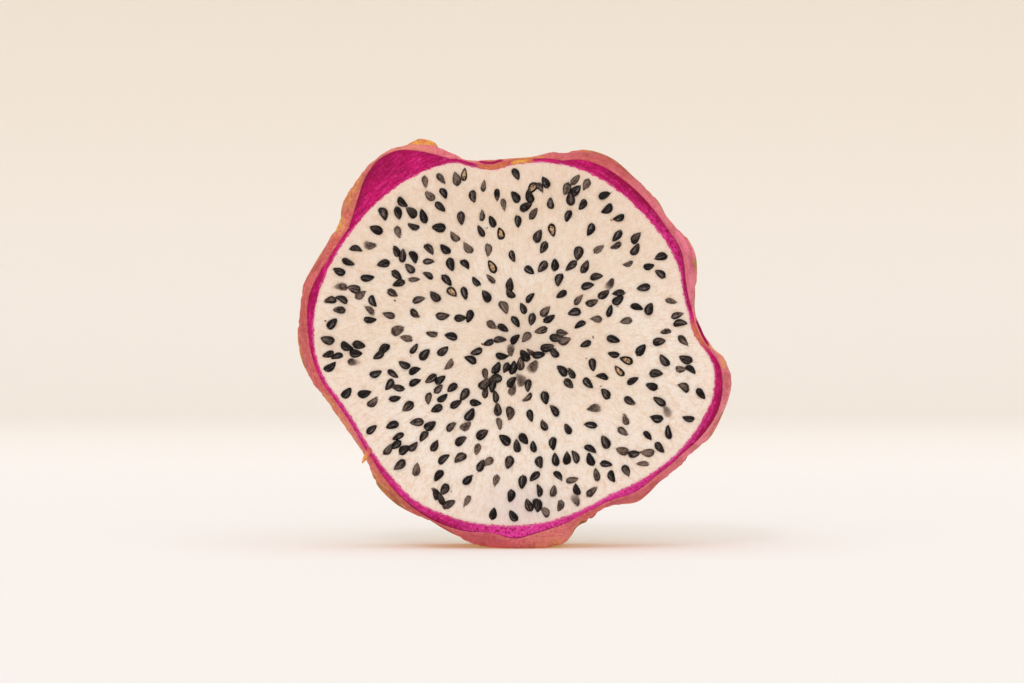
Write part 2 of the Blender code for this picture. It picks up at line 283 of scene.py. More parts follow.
class Finish:
    """A material in the making: its Principled shader, and the nodes that feed it."""

    def __init__(self, name, constants):
        self.material = bpy.data.materials.new(name)
        self.material.use_nodes = True
        self.tree = self.material.node_tree
        self.shader = self.tree.nodes["Principled BSDF"]
        for socket, value in constants.items():
            self.shader.inputs[socket].default_value = value

    def node(self, kind, settings, values, output=0):
        """Adds a node: its settings first, then its sockets' values or links."""
        made = self.tree.nodes.new("ShaderNode" + kind)
        for key, value in settings.items():
            setattr(made, key, value)
        for key, value in values.items():
            if isinstance(value, Wire):
                self.tree.links.new(value.socket, made.inputs[key])
            else:
                made.inputs[key].default_value = value
        return Wire(self, made.outputs[output])

    def vector(self, operation, values, output=0):
        """A step of vector maths."""
        return self.node("VectorMath", {"operation": operation}, values, output)

    def part(self, where, axis):
        """One of a vector's three numbers."""
        return self.node("SeparateXYZ", {}, {0: where}, axis)

    def joined(self, *parts):
        """A vector of three numbers."""
        return self.node("CombineXYZ", {}, dict(enumerate(parts)))

    def feed(self, wires):
        """Links wires to the shader's sockets."""
        for socket, wire in wires.items():
            self.tree.links.new(wire.socket, self.shader.inputs[socket])

    def fact(self, name):
        """What the piece's points say of themselves under a name."""
        return self.node("Attribute", {"attribute_name": name}, {}, "Fac")

    def place(self):
        """Where on the object, in metres."""
        return self.node("TexCoord", {}, {}, "Object")

    def stretched(self, scale, shift=(0, 0, 0)):
        """The place, scaled and shifted."""
        values = {"Vector": self.place(), "Location": shift, "Scale": scale}
        return self.node("Mapping", {}, values)

    def noise(self, where, scale, detail=3.0, roughness=0.6):
        """Cloudy noise from 0 to 1, of a number of cells to each unit of the place."""
        values = {"Vector": where, "Scale": scale, "Detail": detail, "Roughness": roughness}
        return self.node("TexNoise", {}, values)

    def step(self, value, low, high):
        """0 at low, 1 at high, an S curve between."""
        values = {"Value": value, "From Min": low, "From Max": high}
        return self.node("MapRange", {"interpolation_type": "SMOOTHSTEP"}, values)

    def mix(self, factor, start, end):
        """A colour between two."""
        start, end = (c if isinstance(c, Wire) else (*c, 1.0) for c in (start, end))
        return self.node("Mix", {"data_type": "RGBA"}, {0: factor, 6: start, 7: end}, 2)

    def layered(self, colour, layers):
        """A colour under layers of others, each laid on by a factor of its own."""
        for factor, tint in layers:
            colour = self.mix(factor, colour, tint)
        return colour

    def relief(self, *layers):
        """Bump nodes: in each layer a height from 0 to 1 stands for so many metres."""
        bumps = {}
        for height, distance in layers:
            values = {"Height": height, "Distance": distance, **bumps}
            bumps = {"Normal": self.node("Bump", {}, values)}
        return bumps["Normal"]


# Colours, as linear red, green and blue
CREAM = (0.83, 0.683, 0.557)
CREAM_SHADE = (0.75, 0.545, 0.39)
CREAM_LIGHT = (0.885, 0.785, 0.69)
# Painted cool light on the flesh: the cream as it looks low down and towards the lower right
CREAM_IN_COOL_LIGHT = (0.91, 0.82, 0.742)
CREAM_PINK = (0.88, 0.7, 0.6)
# Painted cool light: a lilac cast at the very bottom of the flesh
LILAC_IN_COOL_LIGHT = (0.66, 0.55, 0.57)
BLUSH = (0.86, 0.42, 0.47)
SEED_BED = (0.46, 0.31, 0.22)
SEED_UNDER_FLESH = (0.036, 0.018, 0.011)
SEED_BLACK = (0.0062, 0.003, 0.0024)
SEED_GREY = (0.185, 0.12, 0.09)
# Painted highlight on the seeds: a pale band that stands in for a reflection of the light
SEED_HIGHLIGHT = (0.2, 0.18, 0.175)
SEED_BROWN = (0.17, 0.1, 0.06)
KERNEL = (0.55, 0.33, 0.17)
SPECK_BROWN = (0.27, 0.075, 0.025)
MAGENTA = (0.62, 0.005, 0.15)
MAGENTA_DEEP = (0.33, 0.002, 0.075)
MAGENTA_VIOLET = (0.84, 0.06, 0.4)
MAGENTA_PALE = (0.84, 0.27, 0.5)
CRIMSON = (0.27, 0.001, 0.045)
CRIMSON_DARK = (0.17, 0.002, 0.03)
CORAL = (0.61, 0.1, 0.074)
CORAL_DARK = (0.4, 0.048, 0.062)
CORAL_LIGHT = (0.8, 0.3, 0.27)
ROSE = (0.94, 0.23, 0.37)
# Salmon, laid on as painted light low on the skin and on raised scales, and as patches of its own
SALMON = (0.85, 0.33, 0.24)
ORANGE = (0.64, 0.18, 0.08)
OCHRE = (0.8, 0.4, 0.075)
RUST = (0.44, 0.115, 0.04)
OLIVE = (0.3, 0.2, 0.05)
FLOOR_NEAR = (0.64, 0.697, 0.821)
FLOOR_GLOW = (0.28, 0.19, 0.06)
FLOOR_FAR = (0.94, 0.905, 0.88)
WALL_FOOT = (0.805, 0.755, 0.71)
WALL = (0.79, 0.715, 0.625)
NO_GLOW = (0, 0, 0)
SUNLIGHT = (1, 0.98, 0.955)
ROOM_LIGHT = (1, 0.975, 0.945, 1)
ROOM_STRENGTH = 0.485


def flesh_finish():
    """Cream flesh: faint fibres out from the core, mottling, and the seeds that show through, with
    painted cool light towards the bottom and painted warm light towards the top.
    """
    finish = Finish("pulp_flesh", {
        "Subsurface Weight": 0.18, "Subsurface Radius": (1, 0.55, 0.35),
        "Subsurface Scale": 0.0012, "Specular IOR Level": 0.3})
    fact, step, noise = finish.fact, finish.step, finish.noise
    core = (-(CENTRE_X + CORE[0]) * MM, 0, -(CENTRE_HEIGHT + CORE[1]) * MM)
    flat = finish.stretched((1, 0, 1), core)
    outwards = finish.vector("NORMALIZE", {0: flat})
    along = finish.vector("SCALE", {0: flat, "Scale": 12.0})
    fan = finish.vector("ADD", {0: outwards, 1: along})
    fibres = noise(fan, 34, 4)
    fine_fibres = noise(fan, 95, 2, 0.5)
    clouds = noise(finish.place(), 95, 4)
    mottle = noise(finish.place(), 900)
    grit = noise(finish.place(), 2600, 2)
    edge = fact("from_rim")
    fringe = edge + (mottle - 0.5) * 1.2 + (grit - 0.5) * 0.5
    under = finish.mix(step(grit + mottle, 0.88, 1.16) * 0.75, SEED_UNDER_FLESH, SEED_GREY)
    colour = finish.layered(CREAM, (
        (step(clouds, 0.35, 0.7), CREAM_LIGHT),
        # the flesh's own warmer core, and painted warm light towards the top
        (fact("heart_and_warm_top_light") * 0.42, CREAM_SHADE),
        # painted cool light low down and towards the lower right
        (fact("painted_cool_light") * 0.8, CREAM_IN_COOL_LIGHT),
        (step(edge, 9, 1) * 0.4, CREAM_PINK),
        (step(fibres, 0.48, 0.7) * 0.7, CREAM_SHADE),
        (step(fine_fibres, 0.5, 0.72) * 0.45, CREAM_SHADE),
        (step(fine_fibres, 0.48, 0.3) * 0.5, CREAM_LIGHT),
        (step(mottle, 0.5, 0.68) * 0.46, CREAM_SHADE),
        (step(mottle, 0.46, 0.3) * 0.4, CREAM_LIGHT),
        (step(grit, 0.52, 0.7) * 0.48, CREAM_SHADE),
        (step(grit, 0.46, 0.3) * 0.35, CREAM_LIGHT),
        (fact("warm") * 0.62, SEED_BED),
        # painted lilac light at the very bottom
        (fact("painted_lilac_light") * 0.5, LILAC_IN_COOL_LIGHT),
        (step(fringe, 0.7, 0) * 0.7, BLUSH),
        (step(fringe, 0.26, 0.04) * 0.9, MAGENTA),
        (step(fact("seed_shade"), 0.08, 0.82), under)))
    bumps = finish.relief((mottle, 0.00007), (grit, 0.00003), (fibres, 0.00012))
    finish.feed({"Base Color": colour, "Roughness": 0.4 + mottle * 0.18, "Normal": bumps})
    return finish.material


def seed_finish():
    """Black coats with a painted highlight down one side, greyer and browner where a film of flesh
    lies on them, most of all towards the point. An open seed shows its kernel, and some crumbs
    are brown."""
    finish = Finish("seed_coat", {"Specular IOR Level": 0.13})
    fact, step, noise = finish.fact, finish.step, finish.noise
    blotch = noise(finish.place(), 2100)
    patchy = noise(finish.place(), 520, 2, 0.5)
    lengthwise = fact("across") * 2.6, fact("towards_point") * 1.3, fact("number") * 5.3
    grooves = noise(finish.joined(*lengthwise), 1, 2)
    tone = fact("tone")
    middle = step(fact("from_middle"), 0.95, 0.35)
    point = step(fact("towards_point"), 0.5, 1)
    film = tone * (middle * 0.9 + point * 0.6) * step(grooves + blotch * 0.5, 0.64, 0.86)
    veil = step(tone, 0.85, 1.5) * (step(patchy, 0.4, 0.6) * 0.35 + 0.22)
    # Painted highlight: a pale band along one side of each seed, broken up by grooves and blotches
    highlight = fact("highlight_streak") * step(grooves, 0.44, 0.62) * step(blotch, 0.36, 0.54)
    kernel = finish.mix(step(blotch, 0.45, 0.62), KERNEL, SEED_BROWN)
    open_part = fact("open") * step(fact("from_middle") + (blotch - 0.5) * 0.9, 0.66, 0.36)
    colour = finish.layered(SEED_BLACK, (
        (film * 0.85 + veil, SEED_GREY),
        (highlight * 0.9, SEED_HIGHLIGHT),
        (tone * step(patchy, 0.5, 0.65) * point * 0.7, SEED_BROWN),
        (open_part, kernel),
        (fact("brown"), SPECK_BROWN)))
    rough = 0.2 + tone * 0.2 + open_part * 0.3
    bumps = finish.relief((blotch, 0.00005))
    finish.feed({"Base Color": colour, "Roughness": rough, "Normal": bumps})
    return finish.material


def rind_finish():
    """The peel: granular magenta where it is cut, a crimson line, then coral striped skin."""
    finish = Finish("rind_skin", {
        "Subsurface Weight": 0.06, "Subsurface Radius": (1, 0.25, 0.3),
        "Subsurface Scale": 0.0006, "Specular IOR Level": 0.1, "Coat Roughness": 0.35})
    fact, step, noise = finish.fact, finish.step, finish.noise
    where = finish.place()
    clouds = noise(where, 150)
    grain = noise(where, 1700, 3, 0.65)
    specks = noise(where, 4200, 2)
    cells = finish.node("TexVoronoi", {}, {"Vector": where, "Scale": 2400.0})
    streaks = noise(finish.stretched((1, 0.1, 1)), 1400)
    broad_streaks = noise(finish.stretched((1, 0.14, 1)), 430)

    flat = finish.stretched((1, 0, 1), (-CENTRE_X * MM, 0, -CENTRE_HEIGHT * MM))
    outwards = finish.vector("NORMALIZE", {0: flat})
    reach = finish.vector("LENGTH", {0: flat}, 1)
    depth = finish.part(where, 1)
    turned, risen = finish.part(outwards, 0), finish.part(outwards, 2)
    band, from_flesh = fact("band"), fact("from_flesh")
    sweeps = noise(finish.joined(turned * 8, from_flesh, risen * 8), 2.2, 4)
    wound = finish.joined(turned * 9, reach * 1000.0 + depth * 500, risen * 9)
    wound = noise(wound, 2.4)

    crumbs = fact("crumbly") * step(grain + (sweeps - 0.5) * 0.5, 0.47, 0.36)
    rim = step(band + (grain - 0.5) * 0.35, 0.95, 1)
    wide_rim = step(band + (sweeps - 0.5) * 1, 0.4, 0.72) * fact("crimson")
    glints = step(cells, 0.2, 0.06) * step(grain, 0.44, 0.6)
    cut = finish.layered(MAGENTA, (
        (step(clouds, 0.4, 0.68) * 0.7, MAGENTA_DEEP),
        (step(sweeps, 0.46, 0.64) * 0.85, MAGENTA_DEEP),
        (step(sweeps, 0.46, 0.3) * 0.5, MAGENTA_VIOLET),
        # violet: the band's own tone, laid on most strongly at the bottom as painted light
        (fact("violet_and_painted_light") * 0.75, MAGENTA_VIOLET),
        (step(grain, 0.5, 0.28) * 0.7, MAGENTA_DEEP),
        (step(grain, 0.56, 0.72) * (0.14 + fact("violet_and_painted_light") * 0.22), MAGENTA_PALE),
        (step(specks, 0.48, 0.3) * 0.6, MAGENTA_DEEP),
        (crumbs * 0.8, CRIMSON),
        (wide_rim * 0.9 + rim * 0.3, CRIMSON),
        (glints * (0.25 + fact("crumbly") * 0.4), MAGENTA_PALE),
        (step(from_flesh + (grain - 0.5) * 1.2, 0.3, 0) * 0.55, MAGENTA_PALE)))

    lip = step(depth, -0.0058, -0.0072)
    stripes = step(broad_streaks + (streaks - 0.5) * 0.7 + (clouds - 0.5) * 0.5, 0.36, 0.62)
    ochre = finish.mix(step(streaks, 0.5, 0.3) * 0.5, OCHRE, RUST)
    skin = finish.layered(CORAL, (
        (step(clouds, 0.35, 0.7) * 0.35, ROSE),
        (fact("rose") * 0.85, ROSE),
        # painted light in salmon: bounce at the bottom and lighter raised scales, with some salmon
        # patches of its own
        (fact("salmon_and_painted_light") * 0.75, SALMON),
        (step(broad_streaks, 0.5, 0.68) * 0.5, CORAL_DARK),
        (step(wound, 0.52, 0.68) * lip * 0.45, CORAL_DARK),
        (step(wound, 0.46, 0.32) * lip * 0.4, CORAL_LIGHT),
        (step(streaks, 0.5, 0.72) * 0.4, CORAL_LIGHT),
        (step(streaks, 0.46, 0.3) * 0.35, CORAL_DARK),
        (step(grain, 0.52, 0.7) * (lip * 0.2 + 0.2), CORAL_LIGHT),
        (step(specks, 0.53, 0.68) * (lip * 0.3 + 0.25), CORAL_LIGHT),
        (step(specks, 0.47, 0.32) * (lip * 0.25 + 0.2), CORAL_DARK),
        (fact("ochre") * (stripes * 0.6 + 0.3), ochre),
        (fact("rust") * (0.9 - stripes * 0.7), RUST),
        (fact("olive") * step(broad_streaks, 0.3, 0.6) * 0.8, OLIVE),
        # painted shade: darker coral in the hollows by the scales and in the shaded patches
        (fact("crease_shade") * 0.55, CORAL_DARK),
        (fact("sliver"), cut)))

    bare = finish.mix(step(fact("ochre") + (clouds - 0.5), 0.3, 0.9), ORANGE, OCHRE)
    bare = finish.mix(step(grain, 0.52, 0.38) * 0.7, bare, RUST)
    cut = finish.mix(fact("bare") * 0.95, cut, bare)
    colour = finish.layered(skin, ((fact("cut"), cut), (fact("line") * 0.9, CRIMSON_DARK)))
    rough = 0.48 + grain * 0.2 - fact("cut") * 0.16
    gloss = step(grain, 0.4, 0.65) * (0.22 - fact("cut") * 0.14)
    bumps = finish.relief((grain, 0.0001), (specks, 0.00002), (streaks, 0.00007),
                          (wound * lip, 0.00016))
    finish.feed({"Base Color": colour, "Roughness": rough, "Normal": bumps, "Coat Weight": gloss})
    return finish.material


def seed_places(count, rim_at, number):
    """Middles and directions of the seeds on one cut, in its plane.

    Some crowd round the core, some lie close to a seed that is already there, and each other one is
    the best of a few throws: the one furthest from its neighbours. A seed points along the line
    from the core, inwards or outwards, give or take some degrees.
    """
    draw = random.Random(number)
    kept = []
    while len(kept) < count:
        kind = draw.random()
        if kind < HEART_SHARE or len(kept) < 8:
            x = CORE[0] + draw.gauss(0, HEART_SPREAD)
            z = CORE[1] + draw.gauss(0, HEART_SPREAD)
            spacing = HEART_SPACING
        elif kind < HEART_SHARE + TWIN_SHARE:
            near = kept[draw.randrange(len(kept))]
            turn = draw.uniform(0, math.tau)
            reach = draw.uniform(*TWIN_REACH)
            x = near[0] + reach * math.cos(turn)
            z = near[1] + reach * math.sin(turn)
            spacing = TWIN_REACH[0]
        else:
            throws = []
            for _ in range(THROWS):
                turn = draw.uniform(0, math.tau)
                reach = math.sqrt(draw.random()) * rim_at(math.degrees(turn))
                throw = reach * math.cos(turn), reach * math.sin(turn)
                free = min(math.dist(throw, seed[:2]) for seed in kept)
                throws.append((free, throw))
            x, z = max(throws)[1]
            spacing = SEED_SPACING
        turn = math.degrees(math.atan2(z, x))
        inside = math.hypot(x, z) < rim_at(turn) - SEED_MARGIN
        free = all(math.dist((x, z), seed[:2]) > spacing for seed in kept)
        if inside and free:
            from_core = math.atan2(z - CORE[1], x - CORE[0])
            lean = math.radians(draw.gauss(0, LEAN_SPREAD))
            inwards = math.pi if draw.random() < 0.55 else 0.0
            kept.append((x, z, from_core + lean + inwards))
    return kept


def seed_crop(rim_at, number):
    """Every seed and crumb of one cut: one array for each thing that sets its place and look."""
    draw = np.random.default_rng(100 + number)
    x, z, turn = np.array(seed_places(SEEDS_A_CUT, rim_at, number)).T
    count = len(x)
    kind = draw.choice(4, size=count, p=KIND_SHARES)
    low, high = np.array(KIND_LEVELS).T
    level = draw.uniform(low[kind], high[kind])
    pitch = np.radians(draw.normal(0, np.array(KIND_PITCHES)[kind]))
    size = draw.normal(1.08, 0.06, count).clip(0.94, 1.2)
    tone = np.where(kind == SUNK, draw.uniform(0.9, 1.5, count), draw.uniform(0.0, 1.0, count) ** 2)
    plump = draw.normal(0.98, 0.09, count).clip(0.78, 1.16)
    bend = draw.normal(0, 0.10, count)
    # The side of each seed that takes the painted highlight, chosen from which way the seed points
    highlight_side = np.where(np.cos(turn - 2.4) > 0, 0.45, -0.45) * draw.uniform(0.3, 1.0, count)
    crumbs = CRUMBS_A_CUT
    beside = draw.integers(0, count, crumbs)
    away, way = draw.uniform(1.1, 2.0, crumbs), draw.uniform(0, math.tau, crumbs)
    fields = {
        "x": (x, x[beside] + away * np.cos(way)), "z": (z, z[beside] + away * np.sin(way)),
        "turn": (turn, draw.uniform(0, math.tau, crumbs)), "kind": (kind, PROUD),
        "level": (level, draw.uniform(-0.05, 0.02, crumbs)), "pitch": (pitch, 0),
        "size": (size, draw.uniform(0.10, 0.24, crumbs)),
        "tone": (tone, draw.uniform(0, 0.5, crumbs)),
        "plump": (plump, draw.uniform(0.7, 1.3, crumbs)), "bend": (bend, 0),
        "highlight_side": (highlight_side, 0), "brown": (np.zeros(count), draw.choice([0.0, 0.6, 1.0], crumbs))}
    return {key: np.append(own, np.broadcast_to(crumb, crumbs))
            for key, (own, crumb) in fields.items()}


def pear(t):
    """Half width of a seed at a share of its length from the blunt end.

    It is sqrt(t (1 - t)) (1 - 0.5 t), scaled so that its widest is half the seed's width.
    """
    t = np.clip(t, 0, 1)
    return SEED_WIDTH / 2 * np.sqrt(t * (1 - t)) * (1 - 0.5 * t) / PEAR_WIDEST


def seed_shade(x, z, crop):
    """How dark the seeds make each point of the cut, and how warm the flesh is round them.

    A seed under the flesh shows through by exp(-cover / clearness), where cover is how deep its
    upper side lies, and its edge is softer the deeper it is.
    """
    light, plain = np.ones_like(x), np.ones_like(x)
    half_thick = SEED_FLATNESS * SEED_WIDTH / 2
    for i in range(len(crop["x"])):
        near = np.maximum(np.abs(x - crop["x"][i]), np.abs(z - crop["z"][i])) < SHADE_REACH
        dx, dz = x[near] - crop["x"][i], z[near] - crop["z"][i]
        cos, sin = math.cos(crop["turn"][i]), math.sin(crop["turn"][i])
        length = SEED_LENGTH * crop["size"][i]
        along = dx * cos + dz * sin
        across = dz * cos - dx * sin - crop["bend"][i] * (along**2 - 0.3)
        t = along / length + 0.5
        wide = pear(t) * crop["plump"][i] * crop["size"][i]
        wide = np.maximum(wide - SHADE_TUCK * (crop["kind"][i] != BURIED), 0)
        thick = 0.36 + 0.2 * np.sqrt(np.maximum(wide**2 - across**2, 0))
        top = crop["level"][i] + along * math.tan(crop["pitch"][i]) + thick
        cover = np.maximum(-top, 0)
        past_end = np.maximum(np.abs(t - 0.5) - 0.5, 0) * length
        outside = np.hypot(past_end, np.maximum(np.abs(across) - wide, 0))
        soft = 0.06 + 0.8 * max(-crop["level"][i] - half_thick - 0.1, 0)
        whole = min(crop["size"][i], 1)
        light[near] *= 1 - whole * np.exp(-cover / FILM_CLEARNESS) * smooth(soft, 0, outside)
        plain[near] *= 1 - 0.8 * whole * np.exp(-outside / WARM_REACH)
    return 1 - light, 1 - plain


def disc_grid(count):
    """A unit disc as a square grid: each square round the middle becomes a circle, and a share
    along its side becomes a share of a quarter turn."""
    line = np.linspace(-1, 1, count)
    u, v = np.meshgrid(line, line)
    wide = np.abs(u) >= np.abs(v)
    reach = np.where(wide, u, v)
    turn = np.where(wide, math.pi / 4 * v / reach, math.pi / 2 - math.pi / 4 * u / reach)
    return reach * np.cos(turn), reach * np.sin(turn)


def grid_edge(index):
    """The outer points of a grid, once round it."""
    return np.concatenate((index[0, :-1], index[:-1, -1], index[-1, :0:-1], index[:0:-1, 0]))


def grid_faces(rows, columns, closed_rows=False, closed_columns=False):
    """Quads of a grid of points; a closed direction joins its last line to its first."""
    row = np.arange(rows if closed_rows else rows - 1)[:, None]
    column = np.arange(columns if closed_columns else columns - 1)[None, :]
    down, beside = (row + 1) % rows, (column + 1) % columns
    corners = (row * columns + column, row * columns + beside, down * columns + beside,
               down * columns + column)
    return np.stack(np.broadcast_arrays(*corners), axis=-1).reshape(-1, 4)


def make_pulp(name, outward, crop, material):
    """Half of the flesh: its cut as a disc grid stretched to the flesh's rim, a rounded edge, a
    side wall down to the middle of the slice and a flat end there. outward is -1 for the front."""
    unit_x, unit_z = disc_grid(FLESH_GRID)
    degrees = np.degrees(np.arctan2(unit_z, unit_x))
    share = np.hypot(unit_x, unit_z)
    rim = flesh_rims(degrees)[int(outward > 0)] + FLESH_OVERLAP
    x, z = unit_x * rim, unit_z * rim
    from_rim = rim * (1 - share)
    shade, warm = (f.reshape(x.shape) for f in seed_shade(x.ravel(), z.ravel(), crop))
    swell = 0.05 * ripple(degrees, share * 4, (2, 3, 5, 7, 9), 1.5, 7) * smooth(0, 0.4, share)
    sunk = FLESH_ROUNDING * smooth(0.5, 0, from_rim) + FLESH_RECESS + swell * 0.5
    sunk = sunk + SEED_DIMPLE * shade * (1 - shade) * 4
    face = outward * REAR
    cut = np.stack((CENTRE_X + x, face - outward * sunk, CENTRE_HEIGHT + z), axis=-1)
    edge = grid_edge(np.arange(FLESH_GRID**2).reshape(FLESH_GRID, FLESH_GRID))
    lower = cut.reshape(-1, 3)[edge]
    lower[:, 1] = face - outward * 1.2
    rim_degrees = degrees.ravel()[edge]
    middle = place(rim_degrees, sum(flesh_rims(rim_degrees)) / 2, 0.0)
    points = np.concatenate((cut.reshape(-1, 3), lower, middle))
    faces = grid_faces(FLESH_GRID, FLESH_GRID)
    count, first = len(edge), FLESH_GRID**2
    rings = np.stack((edge, first + np.arange(count), first + count + np.arange(count)))
    after = np.roll(rings, -1, axis=1)
    walls = [np.stack((rings[k], rings[k + 1], after[k + 1], after[k]), axis=-1) for k in (0, 1)]
    faces = np.concatenate((faces, *walls))
    end = rings[2][::-1]
    if outward > 0:
        faces, end = faces[:, ::-1], end[::-1]
    over_cut = {
        "from_rim": from_rim, "seed_shade": shade, "warm": warm,
        # The flesh's own warmer core, and painted warm light towards the top
        "heart_and_warm_top_light": np.maximum(0.75 * np.exp(-(x**2 + z**2) / 180), 1.3 * smooth(8, 30, z)),
        # Painted cool light: low down, and towards the lower right
        "painted_cool_light": np.maximum(smooth(0, -22, z), smooth(16, 34, x) * smooth(14, 0, z)),
        # painted lilac light at the very bottom
        "painted_lilac_light": np.exp(-((x - 2) / 9) ** 2 - ((z + 31) / 5) ** 2) * 0.9}
    facts = {key: np.append(value, np.zeros(2 * count)) for key, value in over_cut.items()}
    return make_piece(name, points, faces.tolist() + [end.tolist()], material, facts)


def make_seeds(name, outward, crop, material):
    """The seeds that reach the cut. Each is a pear turned round its long axis and flattened: half
    width pear(t), with more sides towards the cut than below it. An open seed ends level."""
    rings, sides = len(SEED_RINGS), len(SEED_SIDES)
    shown = np.flatnonzero(crop["kind"] != BURIED)
    field = {key: value[shown][:, None] for key, value in crop.items()}
    t = np.append(np.repeat(SEED_RINGS, sides), (0.0, 1.0)) * np.ones((len(shown), 1))
    around = np.append(np.tile(SEED_SIDES, rings), (0.0, 0.0))
    wide = pear(t) * field["plump"]
    along = (t - 0.5) * SEED_LENGTH * field["size"]
    across = wide * np.cos(around) * field["size"] + field["bend"] * (along**2 - 0.3)
    up = wide * SEED_FLATNESS * np.sin(around) * field["size"]
    signed = across / np.maximum(wide, 0.05)
    from_middle = np.maximum(np.abs(signed), np.abs(along) / (SEED_LENGTH * field["size"]) * 2)
    # Painted highlight: a pale band along the seed on its chosen side, fading towards both ends
    highlight_streak = np.exp(-((signed - field["highlight_side"]) / 0.26) ** 2)
    highlight_streak = highlight_streak * smooth(0.02, 0.25, t) * smooth(0.98, 0.6, t)
    pitch = field["pitch"]
    height = field["level"] + up * np.cos(pitch) + along * np.sin(pitch)
    along = along * np.cos(pitch) - up * np.sin(pitch)
    is_open = field["kind"] == OPEN
    height = np.minimum(height, np.where(is_open, OPEN_TOP, SEED_TOP))
    cos, sin = np.cos(field["turn"]), np.sin(field["turn"])
    x = CENTRE_X + field["x"] + along * cos - across * sin
    z = CENTRE_HEIGHT + field["z"] + along * sin + across * cos
    points = np.stack((x, outward * REAR + outward * height, z), axis=-1)
    a_seed = points.shape[1]
    body = grid_faces(rings, sides, closed_columns=True)
    this = np.arange(sides)
    beside = (this + 1) % sides
    last = (rings - 1) * sides
    blunt = np.stack((np.full(sides, a_seed - 2), beside, this), axis=-1)
    tip = np.stack((np.full(sides, a_seed - 1), last + this, last + beside), axis=-1)
    if outward > 0:
        body, blunt, tip = body[:, ::-1], blunt[:, ::-1], tip[:, ::-1]
    starts = np.arange(len(shown))[:, None, None] * a_seed
    faces = []
    for part in (body, blunt, tip):
        faces += (starts + part).reshape(-1, part.shape[1]).tolist()
    whole = np.ones(a_seed)
    facts = {"tone": field["tone"] * whole, "open": is_open * whole,
             "brown": field["brown"] * whole, "number": shown[:, None] * whole,
             "from_middle": from_middle, "across": signed, "towards_point": t, "highlight_streak": highlight_streak}
    return make_piece(name, points, faces, material, facts)


def cut_rim(degrees):
    """Radius of the outer edge of the peel's front cut."""
    return np.maximum(radius(CUT_RIM, degrees), radius(FLESH_RIM, degrees) + THINNEST_CUT)


def skin_radius(degrees, depth):
    """Radius of the outer skin, without its relief: from the cut's rim out to the skin's rim by
    the flare's shares, then in to the rear rim over the last stretch."""
    depths, shares = np.array(FLARE).T
    offsets = np.linspace(-0.7, 0.7, 7)
    share = sum(np.interp(depth + o, depths, shares) for o in offsets) / len(offsets)
    front = cut_rim(degrees)
    reach = front + share * (radius(SKIN_RIM, degrees) - front)
    rearmost = smooth(4.5, REAR + 0.6, depth)
    return reach + rearmost * (radius(REAR_RIM, degrees) - reach)


# Folds in the skin: angle at the front, degrees that it leans each millimetre, width, depth
FOLDS = (
    (288.6, 0.5, 0.8, 0.7), (143, -0.5, 1.0, 0.5), (104, 0.5, 1.2, 0.35), (222, 0.4, 1.0, 0.35),
    (246, -0.4, 1.1, 0.3), (20, 0.3, 1.4, 0.3), (50, -0.3, 1.2, 0.25), (314, 0.4, 1.0, 0.4),
    (333, -0.5, 1.2, 0.35), (357, 0.4, 1.3, 0.3), (178, 0.35, 1.3, 0.3), (196, -0.3, 1.1, 0.3),
)

# Places round the ring, each an angle, a spread in degrees and an amount
NOTCHES = ((3.5, 6.5, 1), (97.5, 6, 1))     # the cut foot of a scale lies outside the skin
BARE = ((88, 6, 1), (97, 8, 1), (3, 8, 0.6))    # no magenta beside the flesh
BEAD = (88.5, 6)            # where that bare part is a golden bead
CRUMBLY_ARCS = ((38, 34, 1), (268, 44, 1), (330, 34, 0.7), (200, 30, 0.4))
CRIMSON_ARCS = ((50, 20, 1), (24, 22, 0.5), (337, 22, 0.9), (128, 28, 0.45), (168, 18, 0.5),
                (247, 16, 0.6), (300, 16, 0.4))
LINE_ARCS = ((26, 22, 0.6), (344, 20, 0.7), (134, 18, 0.6), (165, 22, 0.3), (240, 30, 0.9),
             (276, 18, 0.7), (318, 18, 0.5))
# Violet in the cut band: partly its own tone, partly painted light lifting the band at the bottom
VIOLET_ARCS = ((272, 38, 1), (300, 30, 1), (328, 20, 0.6), (34, 22, 0.45), (236, 24, 0.5),
               (204, 26, 0.5))
# A golden rim where the skin stands furthest out: painted light, as if lit from behind
RIM_LIGHT_ARCS = ((150, 44, 0.6), (232, 20, 0.7), (200, 18, 0.5), (291, 16, 0.5), (335, 30, 0.5),
             (75, 20, 0.3))
ROSE_ARCS = ((24, 44, 1), (338, 32, 1), (308, 22, 0.45), (262, 18, 0.5), (108, 12, 0.4))

# Places on the skin, each an angle, a depth, a spread in degrees, one in millimetres, an amount
OCHRE_SPOTS = (
    (88.5, -7.7, 5, 1.2, 0.9), (97, -7.8, 8, 0.7, 0.35), (90, -4, 8, 4, 0.3),
    (3, -7.9, 8, 0.5, 0.4), (358, -6.8, 2.2, 2.4, 0.9), (1, -2, 7, 4, 0.2),
    (148.5, -5.4, 6, 3, 0.95), (136, -5.8, 10, 2.8, 0.6), (122, -4, 9, 4, 0.4),
    (279, -5.6, 1.2, 1.2, 0.9), (228, -5, 14, 4, 0.6), (203, -6, 12, 2.5, 0.6),
    (216, -5, 3, 3, 0.6), (312, -5, 4, 3, 0.3), (60, 6.2, 12, 3, 0.5),
    (170, 6, 14, 3, 0.45), (300, 5.6, 10, 3, 0.5), (20, 6.5, 9, 2, 0.4))
RUST_SPOTS = (
    (149, -4.4, 4, 2.4, 0.6), (142.7, -3.6, 1, 1.4, 1), (158, -5, 7, 2.6, 0.35),
    (140, -6, 12, 2.6, 0.6), (172, -6, 10, 2.2, 0.35), (230, -6, 9, 3, 0.5),
    (240, 2, 10, 5, 0.35), (75, 3, 9, 4, 0.3), (205, 4, 9, 3, 0.3))
